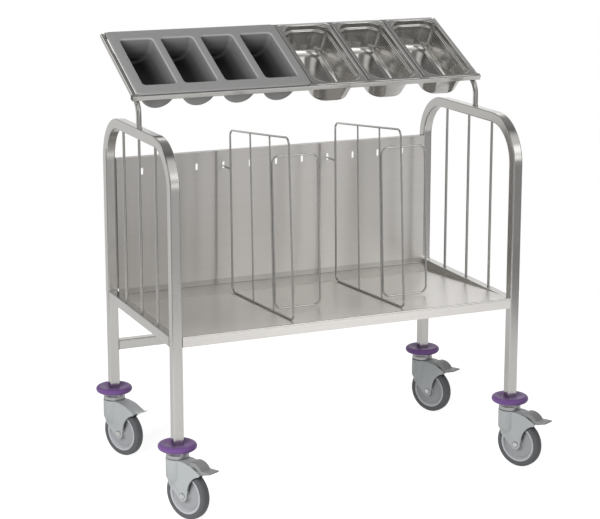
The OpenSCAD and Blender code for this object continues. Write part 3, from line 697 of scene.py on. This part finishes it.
class TROLLEY_OT_insert(bpy.types.Operator):
    """Mould the cutlery insert, with round floors, end fillets and rounded edges"""
    bl_idname = "trolley.insert"
    bl_label = "Cutlery insert"

    def execute(self, context):
        looks = context.scene.trolley_looks
        self.edge = looks.insert_edge
        # The compartments take a copy of the insert grey with painted shade, darker towards their
        # floors
        grey, cell_shade_grey = (
            plastic(name, looks.insert_tone[:], 0.38, pebble=1200.0, bump=0.08, change=0.06)
            for name in ("Insert grey", "Insert grey compartments"))
        place = rack_matrix(-ROW_LEFT + INSERT_W / 2, ROW_S, SEAT + SKIRT)
        made = piece("cutlery_insert_moulding", self.moulding, place, grey, "insert",
                     ("cutlery_insert",), sharp=42)
        self.paint_cell_shade(cell_shade_grey, place)
        made.data.materials.append(cell_shade_grey)
        return {"FINISHED"}

    def paint_cell_shade(self, material, place):
        """Paints shade into a compartment's colour, darker from its edge down to its floor."""
        tree = material.node_tree
        skin = tree.nodes["Principled BSDF"]
        colour = skin.inputs["Base Color"].links[0].from_socket
        up = (place.to_3x3() @ Vector((0, 0, 1))).normalized()
        top = up.dot(place.translation)
        height = reach_along(tree, add(tree, "ShaderNodeTexCoord").outputs["Object"], up)
        depth = map_range(tree, height, top, top - CELL_DEPTH * MM)
        share = math_node(tree, "MULTIPLY", grey_ramp(tree, depth, CELL_SHADE), CELL_GAIN)
        join(tree, scaled(tree, colour, share), skin.inputs["Base Color"])

    def moulding(self, bm):
        """The whole insert: compartments, their undersides, and the rim with its skirt."""
        middles = [(i - (CELLS - 1) / 2) * CELL_PITCH for i in range(CELLS)]
        openings = [self.trough(bm, x, CELL_W / 2, CELL_LEN / 2, 11.0, CELL_DEPTH, self.edge)
                    for x in middles]
        for face in bm.faces:
            face.material_index = 1
        feet = [self.trough(bm, x, CELL_W / 2 + WALL, CELL_LEN / 2 + WALL, 12.0,
                            CELL_DEPTH + WALL, WALL, rounded=False) for x in middles]
        # From the flat top over the rounded outer edge, round the skirt and in below: inset, height
        edge = [(2.0, 0), (1.2, -0.2), (0.5, -0.7), (0.1, -1.4), (0, -2.2), (0, -SKIRT + 0.6),
                (0.5, -SKIRT), (WALL, -SKIRT), (WALL, -WALL)]
        rings = [[(x - RIM_REACH / 2, y, z) for x, y, z in
                  round_ring(INSERT_W + RIM_REACH, INSERT_D, RIM_R - inset, inset, h)]
                 for inset, h in edge]
        rows = loft(bm, rings)
        fill_between(bm, [rows[0], *openings])
        fill_between(bm, [rows[-1], *feet])

    def trough(self, bm, x, half_w, half_l, fillet, depth, edge, rounded=True):
        """One compartment's surface, and the loop of vertices round its opening.

        Its cross sections stand along the compartment. Each has a place, how much smaller it is
        than the middle ones, and the way that its edge faces: an angle, and -1 or 1 at an end.
        """
        steps = 5
        ends = [(fillet * (1 - math.cos(a)), fillet * (1 - math.sin(a)), a)
                for a in (math.pi / 2 * k / steps for k in range(steps + 1))]
        sections = [(-half_l + t, d, a, -1) for t, d, a in ends]
        sections += [(-half_l + fillet + (2 * half_l - 2 * fillet) * k / 5, 0, math.pi / 2, 0)
                     for k in range(1, 5)]
        sections += [(half_l - t, d, a, 1) for t, d, a in reversed(ends)]
        rings = []
        for s, d, _, _ in sections:
            r = half_w - d
            low = half_w - depth
            ring = [(x - r, s, -edge + (low + edge) * k / 3) for k in range(3)]
            ring += [(x - r * math.cos(a), s, low - r * math.sin(a))
                     for a in (math.pi * k / 18 for k in range(19))]
            ring += [(x + r, s, low + (-edge - low) * k / 3) for k in range(1, 4)]
            rings.append(ring)
        rows = loft(bm, rings, closed=False, ends=True)
        left = [(row[0], -1) for row in rows]
        right = [(row[-1], 1) for row in rows]
        loop = left + right[::-1]
        if not rounded:
            return [vertex for vertex, _ in loop]
        normals = []
        for (vertex, side), (_, _, a, end) in zip(loop, sections + sections[::-1]):
            normals.append(Vector((side * math.sin(a), end * math.cos(a))))
        rim = [[vertex for vertex, _ in loop]]
        for k in range(1, steps + 1):
            turn_up = math.pi / 2 * k / steps
            out, rise = edge * (1 - math.cos(turn_up)), edge * math.sin(turn_up) - edge
            rim.append([bm.verts.new((vertex.co.x + n.x * out, vertex.co.y + n.y * out, rise))
                        for (vertex, _), n in zip(loop, normals)])
        band(bm, rim)
        return rim[-1]


class TROLLEY_OT_pans(bpy.types.Operator):
    """Draw the three food pans, with a beaded opening, a shoulder and a round-edged floor"""
    bl_idname = "trolley.pans"
    bl_label = "Food pans"

    def execute(self, context):
        polished = steel("Drawn pan steel", (0.66, 0.65, 0.63), 0.17, (8, 8, 8), change=0.03,
                         rough_change=0.02, clouds=5.0)
        for k in PANS:
            x = -ROW_LEFT + INSERT_W + k * INSERT_GAP + (k - 0.5) * PAN_W
            made = piece(f"pan_{k}_drawn", self.drawn, rack_matrix(x, ROW_S, SEAT + 1), polished,
                         f"food_pan_{k}", (f"pan_{k}",), sharp=60)
            sheet = made.modifiers.new("Sheet thickness", "SOLIDIFY")
            sheet.thickness = 0.9 * MM
            sheet.offset = -1.0
        return {"FINISHED"}

    def drawn(self, bm):
        """The pan's upper surface, from the rim's edge down to the middle of its floor.

        The profile has an inset from the pan's outer edge, a height and a corner radius.
        """
        floor_in = PAN_RIM + SHOULDER_W + PAN_DRAFT
        wall_in, wall_top, wall_r, foot_r, floor_round = 17.8, -22, 41.2, 43.2, 22
        profile = [
            (0.2, -2.6, RIM_R), (0, -1.6, RIM_R), (0.3, -0.6, RIM_R), (1.3, 0, 13.2), (4.2, 0, 24),
            (6.4, 0, 34), (7.2, 0.4, 38), (8.2, 0.7, 41), (9.2, 0.3, 43), (9.9, -0.8, PAN_R),
            (10.3, -2.6, PAN_R), (10.7, -7.0, PAN_R), (11.1, -13.2, PAN_R), (11.4, -14.8, 44.8),
            (12.2, -15.7, 44.2), (13.6, -16.1, 43.2), (15.9, -16.3, 41.8), (16.9, -16.8, 41.2),
            (17.4, -18.0, 41.0), (17.7, -20, 41.1), (wall_in, wall_top, wall_r)]
        for k in range(1, 6):
            t = k / 5
            profile.append((wall_in + (floor_in - wall_in) * t,
                            wall_top - (PAN_DEPTH + wall_top - floor_round) * t, wall_r + 2 * t))
        for k in range(1, 10):
            a = math.pi / 2 * k / 9
            inset = floor_in + floor_round * (1 - math.cos(a))
            profile.append((inset, -PAN_DEPTH + floor_round * (1 - math.sin(a)),
                            max(foot_r - 0.9 * (inset - floor_in), 10)))
        profile += [(68, -PAN_DEPTH + 0.1, 8), (76, -PAN_DEPTH + 0.2, 6)]
        rings = [round_ring(PAN_W, INSERT_D, r, inset, h, turns=10, long=14, short=6)
                 for inset, h, r in profile]
        rows = loft(bm, rings)
        bm.faces.new(rows[-1])


# The wheel's dished web is painted darker than the rest of the disc between these radii, as painted
# shade in its hollow
WEB_FROM, WEB_TO = 15, 47


class TROLLEY_OT_castors(bpy.types.Operator):
    """Make the bumpers, bearings, wheels, tyres and nuts, and round the forks and pedals"""
    bl_idname = "trolley.castors"
    bl_label = "Castors"

    def execute(self, context):
        looks = context.scene.trolley_looks
        self.bumper_half = looks.bumper_thickness / 2
        violet = plastic("Bumper violet", looks.bumper_tone[:], 0.42, pebble=500.0, bump=0.05)
        housing = plastic("Castor housing grey", (0.385, 0.406, 0.41), 0.36, pebble=1100.0)
        pedal = plastic("Pedal grey", (0.25, 0.252, 0.25), 0.4, pebble=1100.0)
        rubber = plastic("Tyre rubber", (0.095, 0.098, 0.104), 0.5, pebble=1400.0, bump=0.15)
        nut = steel("Axle nut", (0.85, 0.85, 0.85), 0.5, EVEN)
        disc = plastic("Wheel disc grey", (0.44, 0.45, 0.465), 0.36, pebble=1000.0)
        # The web's grey is darker than the disc's: painted shade in the dished hollow
        web = plastic("Wheel web grey", (0.315, 0.322, 0.335), 0.4, pebble=1000.0)
        for corner in CORNERS:
            castor, roller = f"{corner}_castor", f"{corner}_roller"
            axle = axle_matrix(corner)
            piece(f"{corner}_bumper_ring", self.bumper, upright_matrix(corner, BUMPER_Z), violet,
                  "frame", (f"{corner}_bumper",))
            piece(f"{corner}_bearing", self.bearing, upright_matrix(corner, 0), zinc(), "frame",
                  (f"{corner}_cap",))
            made = piece(f"{corner}_wheel_disc", self.disc, axle, disc, roller,
                         (f"{corner}_wheel",))
            made.data.materials.append(web)
            piece(f"{corner}_tyre_ring", self.tyre, axle, rubber, roller,
                  (f"{corner}_tyre",))
            piece(f"{corner}_axle_pin", self.axle_pin, axle, nut, castor,
                  (f"{corner}_axle",), sharp=50)
            piece(f"{corner}_axle_washer", self.axle_washer, axle, pedal, castor)
            eased_copy(f"{corner}_fork", 1.6, housing, castor)
            if corner in BRAKED:
                eased_copy(f"{corner}_brake", 0.9, pedal, f"{corner}_pedal")
        return {"FINISHED"}

    def bumper(self, bm):
        """Soft disc with a full round rim, its top dished towards the leg."""
        half, round_r = self.bumper_half, 9.5
        top = [(13, 4.2), (18, 4.6), (24, 5.7), (30, 7.2), (35, 8.3), (40, half - 0.2)]
        side = [(BUMPER_R - round_r + round_r * math.cos(a), half * math.sin(a))
                for a in (math.pi / 2 - math.pi * k / 16 for k in range(17))]
        low = [(38, -half + 0.2), (34, -7.4), (30, -7.0), (13, -7.0)]
        turn(bm, top + side + low, 72)

    def bearing(self, bm):
        """Pressed swivel bearing below the bumper, with a dark groove above the fork."""
        pin_r, groove_r = 5.9, 28.0
        profile = [(0.0, -13.7), (pin_r, -13.7), (pin_r, 0.6), (groove_r, 0.6), (groove_r, 2.6),
                   (CAP_R - 0.6, 2.6), (CAP_R, 3.6), (CAP_R, 12), (CAP_R - 1.2, 14),
                   (CAP_R - 2.4, 17), (CAP_R - 2.8, CAP_TOP - FORK_TOP - 1),
                   (0.0, CAP_TOP - FORK_TOP - 0.2)]
        turn(bm, softened([(r, FORK_TOP + h) for r, h in profile], 1.0, 3), 56)

    def disc(self, bm):
        """Wheel disc: hub, cone, dished web with a groove and painted shade, and a rim lip."""
        half = [(4.1, HUB_HALF), (11.6, HUB_HALF), (13.6, HUB_HALF - 2.2), (16.5, 10.5),
                (23, 6.6), (36, 4.6), (43.5, 4.4), (44.5, 3.4), (46.5, 3.4), (47.6, 5.4),
                (49.4, 10.8), (50.4, 12.6), (53.4, 13.4), (55.6, 13.2), (DISC_R - 0.1, 12.0)]
        profile = softened(half + [(r, -y) for r, y in reversed(half)], 1.2, 3)
        turn(bm, profile, 88)
        for face in bm.faces:
            if WEB_FROM < face.calc_center_median().xy.length < WEB_TO:
                face.material_index = 1

    def tyre(self, bm):
        """Tyre with a shallow step at the disc, full shoulders and a crowned tread."""
        half = [(DISC_R - 0.1, 12.8), (58.2, 14.2), (60.0, TREAD_W / 2), (64.0, TREAD_W / 2),
                (69.4, 12.6), (71.8, 8.4), (WHEEL_R - 0.1, 4.0)]
        profile = half + [(WHEEL_R, 0.0)] + [(r, -y) for r, y in reversed(half)]
        turn(bm, softened(profile, 2.6, 3), 96)

    def axle_pin(self, bm):
        """Pin with a flanged round nut at each end and a small dimple."""
        out = FORK_W / 2
        half = [(0.0, out + 1.6), (2.6, out + 1.7), (3.2, out + 2.9), (5.2, out + 3.2),
                (6.6, out + 2.6), (7.4, out + 1.3), (7.6, out + 0.1), (4.0, out - 0.4)]
        turn(bm, half + [(r, -y) for r, y in reversed(half)], 32)

    def axle_washer(self, bm):
        """Low dark ring on each outer cheek, round the nut."""
        for side in (-1, 1):
            out = side * FORK_W / 2
            profile = [(7.7, out - side * 0.6), (7.9, out + side * 0.7), (8.9, out + side * 0.9),
                       (9.7, out + side * 0.5), (9.9, out - side * 0.6)]
            turn(bm, softened(profile, 0.5, 2), 40)


# The studio that the steel mirrors. WALLS are greys all round it, by the degrees from the
# trolley's back towards its right. HEIGHTS dims them from straight down, 0, to straight up, 1.
# PATCHES are round soft lights on them: their aim, half-width in degrees and strength.
WALLS = (
    (-180, 0.45), (-160, 0.52), (-140, 0.42), (-122, 0.06), (-104, 0.06), (-84, 0.6), (-66, 0.85),
    (-45, 0.62), (-23, 0.75), (-4, 0.75), (14, 0.85), (32, 0.92), (70, 0.95), (90, 0.7),
    (108, 0.08), (138, 0.15), (150, 0.08), (156, 0.80), (163, 0.34), (180, 0.42))
HEIGHTS = ((0.0, 0.8), (0.4, 0.95), (0.55, 1.0), (0.67, 0.55), (0.8, 0.42), (0.9, 0.2), (1.0, 0.12))
PATCHES = (
    ((-0.50, -0.62, 0.60), 24, 0.9), ((0.34, -0.54, 0.77), 24, 0.75),
    ((0.44, -0.89, 0.14), 9, 1.9), ((0.46, -0.78, 0.42), 13, 1.9),
    ((0.38, 0.80, 0.50), 17, 0.9), ((0.42, 0.91, 0.0), 10, 0.9),
    ((-0.56, 0.49, 0.65), 16, 1.2), ((0.74, -0.38, 0.55), 18, 0.5))
# How much less of the surroundings dull surfaces get, and the share of the white backdrop that
# mirrored rays see on the floor and beyond it
DIFFUSE_CUT, FLOOR_SHARE, WORLD_SHARE = 0.42, 0.45, 0.12


class TROLLEY_OT_stage(bpy.types.Operator):
    """Set up the floor, the soft studio light and the camera"""
    bl_idname = "trolley.stage"
    bl_label = "Stage and camera"

    def execute(self, context):
        looks = context.scene.trolley_stage
        scene = context.scene
        scene.view_settings.view_transform = "Standard"
        self.floor(looks)
        self.surround(scene, looks)
        self.soft_light("key", (-3.3, -2.3, 1.9), (0, 0, 0.7), 2.4, 2.0, looks.key_power)
        self.soft_light("fill", (3.0, -1.6, 2.6), (0, 0, 0.8), 1.6, 1.6, looks.fill_power)
        self.camera(scene)
        return {"FINISHED"}

    def floor(self, looks):
        """A round pale floor that goes over into the white background."""
        mesh = bpy.data.meshes.new("floor")
        reach, count = 2.2, 64
        ring = [(reach * math.cos(a), reach * math.sin(a), 0)
                for a in (2 * math.pi * k / count for k in range(count))]
        mesh.from_pydata(ring, [], [tuple(range(count))])
        floor = bpy.data.objects.new("floor", mesh)
        bpy.context.scene.collection.objects.link(floor)
        material = bpy.data.materials.new("Floor white")
        material.use_nodes = True
        tree = material.node_tree
        tree.nodes.clear()
        plain = add(tree, "ShaderNodeBsdfDiffuse", Color=(looks.floor_tone,) * 3 + (1,))
        shade = add(tree, "ShaderNodeBsdfDiffuse", Color=(0.45, 0.45, 0.45, 1))
        white = add(tree, "ShaderNodeEmission", Color=(1, 1, 1, 1))
        # The camera sees less white below the trolley, so that its shadow shows
        least, near, far = 0.84, 0.7, 1.4
        away = add(tree, "ShaderNodeVectorMath", operation="LENGTH")
        join(tree, add(tree, "ShaderNodeTexCoord").outputs["Object"], away.inputs[0])
        glow = map_range(tree, away.outputs["Value"], near, far, least, 1.0, "SMOOTHSTEP")
        join(tree, glow, white.inputs["Strength"])
        seen = add(tree, "ShaderNodeAddShader")
        mix = add(tree, "ShaderNodeMixShader")
        out = add(tree, "ShaderNodeOutputMaterial")
        join(tree, shade.outputs[0], seen.inputs[0])
        join(tree, white.outputs[0], seen.inputs[1])
        join(tree, self.backdrop_rays(tree, FLOOR_SHARE), mix.inputs[0])
        join(tree, plain.outputs[0], mix.inputs[1])
        join(tree, seen.outputs[0], mix.inputs[2])
        join(tree, mix.outputs[0], out.inputs["Surface"])
        floor.data.materials.append(material)

    def backdrop_rays(self, tree, mirrored_share):
        """How much of the white backdrop a ray sees: all from the camera, less when mirrored."""
        path = add(tree, "ShaderNodeLightPath")
        mirrored = math_node(tree, "MAXIMUM", path.outputs["Is Glossy Ray"],
                             path.outputs["Is Transmission Ray"])
        return math_node(tree, "MULTIPLY_ADD", mirrored, mirrored_share,
                         path.outputs["Is Camera Ray"])

    def surround(self, scene, looks):
        """Soft grey studio all round for the steel, before a plain white backdrop."""
        world = bpy.data.worlds.new("Studio")
        scene.world = world
        world.use_nodes = True
        tree = world.node_tree
        tree.nodes.clear()
        path = add(tree, "ShaderNodeLightPath")
        place = add(tree, "ShaderNodeTexCoord").outputs["Generated"]
        parts = add(tree, "ShaderNodeSeparateXYZ")
        join(tree, place, parts.inputs[0])
        x, y, z = parts.outputs
        way = math_node(tree, "MULTIPLY_ADD", math_node(tree, "ARCTAN2", x, y), 0.5 / math.pi, 0.5)
        walls = grey_ramp(tree, way, [(angle / 360 + 0.5, grey) for angle, grey in WALLS])
        height = grey_ramp(tree, math_node(tree, "MULTIPLY_ADD", z, 0.5, 0.5), HEIGHTS)
        tone = math_node(tree, "MULTIPLY", walls, height)
        for patch in PATCHES:
            tone = math_node(tree, "ADD", tone, self.soft_patch(tree, place, *patch))
        studio = add(tree, "ShaderNodeBackground")
        join(tree, tone, studio.inputs["Color"])
        level = math_node(tree, "MULTIPLY_ADD", path.outputs["Is Diffuse Ray"],
                          -DIFFUSE_CUT * looks.surround, looks.surround)
        join(tree, level, studio.inputs["Strength"])
        white = add(tree, "ShaderNodeBackground", Color=(1, 1, 1, 1), Strength=1.0)
        mix = add(tree, "ShaderNodeMixShader")
        out = add(tree, "ShaderNodeOutputWorld")
        join(tree, self.backdrop_rays(tree, WORLD_SHARE), mix.inputs[0])
        join(tree, studio.outputs[0], mix.inputs[1])
        join(tree, white.outputs[0], mix.inputs[2])
        join(tree, mix.outputs[0], out.inputs["Surface"])

    def soft_patch(self, tree, direction, aim, width, strength):
        """A round soft light on the studio's wall, full over 0.3 of its half-width in degrees."""
        towards = reach_along(tree, direction, Vector(aim).normalized())
        fade = map_range(tree, towards, math.cos(math.radians(width)),
                         math.cos(math.radians(width * 0.3)), smooth="SMOOTHSTEP")
        return math_node(tree, "MULTIPLY", fade, strength)

    def soft_light(self, name, place, target, width, height, power):
        """A large lamp turned to a target, which the metal doesn't mirror."""
        data = bpy.data.lights.new(name, "AREA")
        data.shape = "RECTANGLE"
        data.size, data.size_y = width, height
        data.energy = power
        lamp = bpy.data.objects.new(name, data)
        lamp.location = place
        lamp.visible_glossy = False
        lamp.rotation_euler = (Vector(target) - Vector(place)).to_track_quat("-Z", "Y").to_euler()
        bpy.context.scene.collection.objects.link(lamp)

    def camera(self, scene):
        """A long lens from the front left, a little above, with a small shift."""
        data = bpy.data.cameras.new("camera")
        data.sensor_width = 36.0
        data.sensor_fit = "HORIZONTAL"
        data.lens = 107.466
        data.shift_y = -0.08
        data.clip_end = 60
        camera = bpy.data.objects.new("camera", data)
        camera.location = (-2.1221, -4.7112, 1.8812)
        camera.rotation_euler = (math.radians(90 - 12.102), 0, math.radians(-23.612))
        scene.collection.objects.link(camera)
        scene.camera = camera


OPERATORS = (TROLLEY_OT_frame_finish, TROLLEY_OT_sheet_finish, TROLLEY_OT_dividers,
             TROLLEY_OT_insert, TROLLEY_OT_pans, TROLLEY_OT_castors, TROLLEY_OT_stage)


class TROLLEY_PT_looks(bpy.types.Panel):
    """Settings and pieces of the trolley, in the 3D view's sidebar"""
    bl_label = "Trolley"
    bl_idname = "TROLLEY_PT_looks"
    bl_space_type = "VIEW_3D"
    bl_region_type = "UI"
    bl_category = "Trolley"

    def draw(self, context):
        column = self.layout.column()
        for name in TrolleyLooks.__annotations__:
            column.prop(context.scene.trolley_looks, name)
        for name in StageLooks.__annotations__:
            column.prop(context.scene.trolley_stage, name)
        for operator in OPERATORS:
            column.operator(operator.bl_idname)


CLASSES = (TrolleyLooks, StageLooks, *OPERATORS, TROLLEY_PT_looks)


def register():
    for kind in CLASSES:
        bpy.utils.register_class(kind)
    bpy.types.Scene.trolley_looks = bpy.props.PointerProperty(type=TrolleyLooks)
    bpy.types.Scene.trolley_stage = bpy.props.PointerProperty(type=StageLooks)


def unregister():
    del bpy.types.Scene.trolley_stage
    del bpy.types.Scene.trolley_looks
    for kind in reversed(CLASSES):
        bpy.utils.unregister_class(kind)


def main():
    register()
    bpy.ops.trolley.frame_finish()
    bpy.ops.trolley.sheet_finish()
    bpy.ops.trolley.dividers()
    bpy.ops.trolley.insert()
    bpy.ops.trolley.pans()
    bpy.ops.trolley.castors()
    bpy.ops.trolley.stage()


if __name__ == "__main__":
    main()
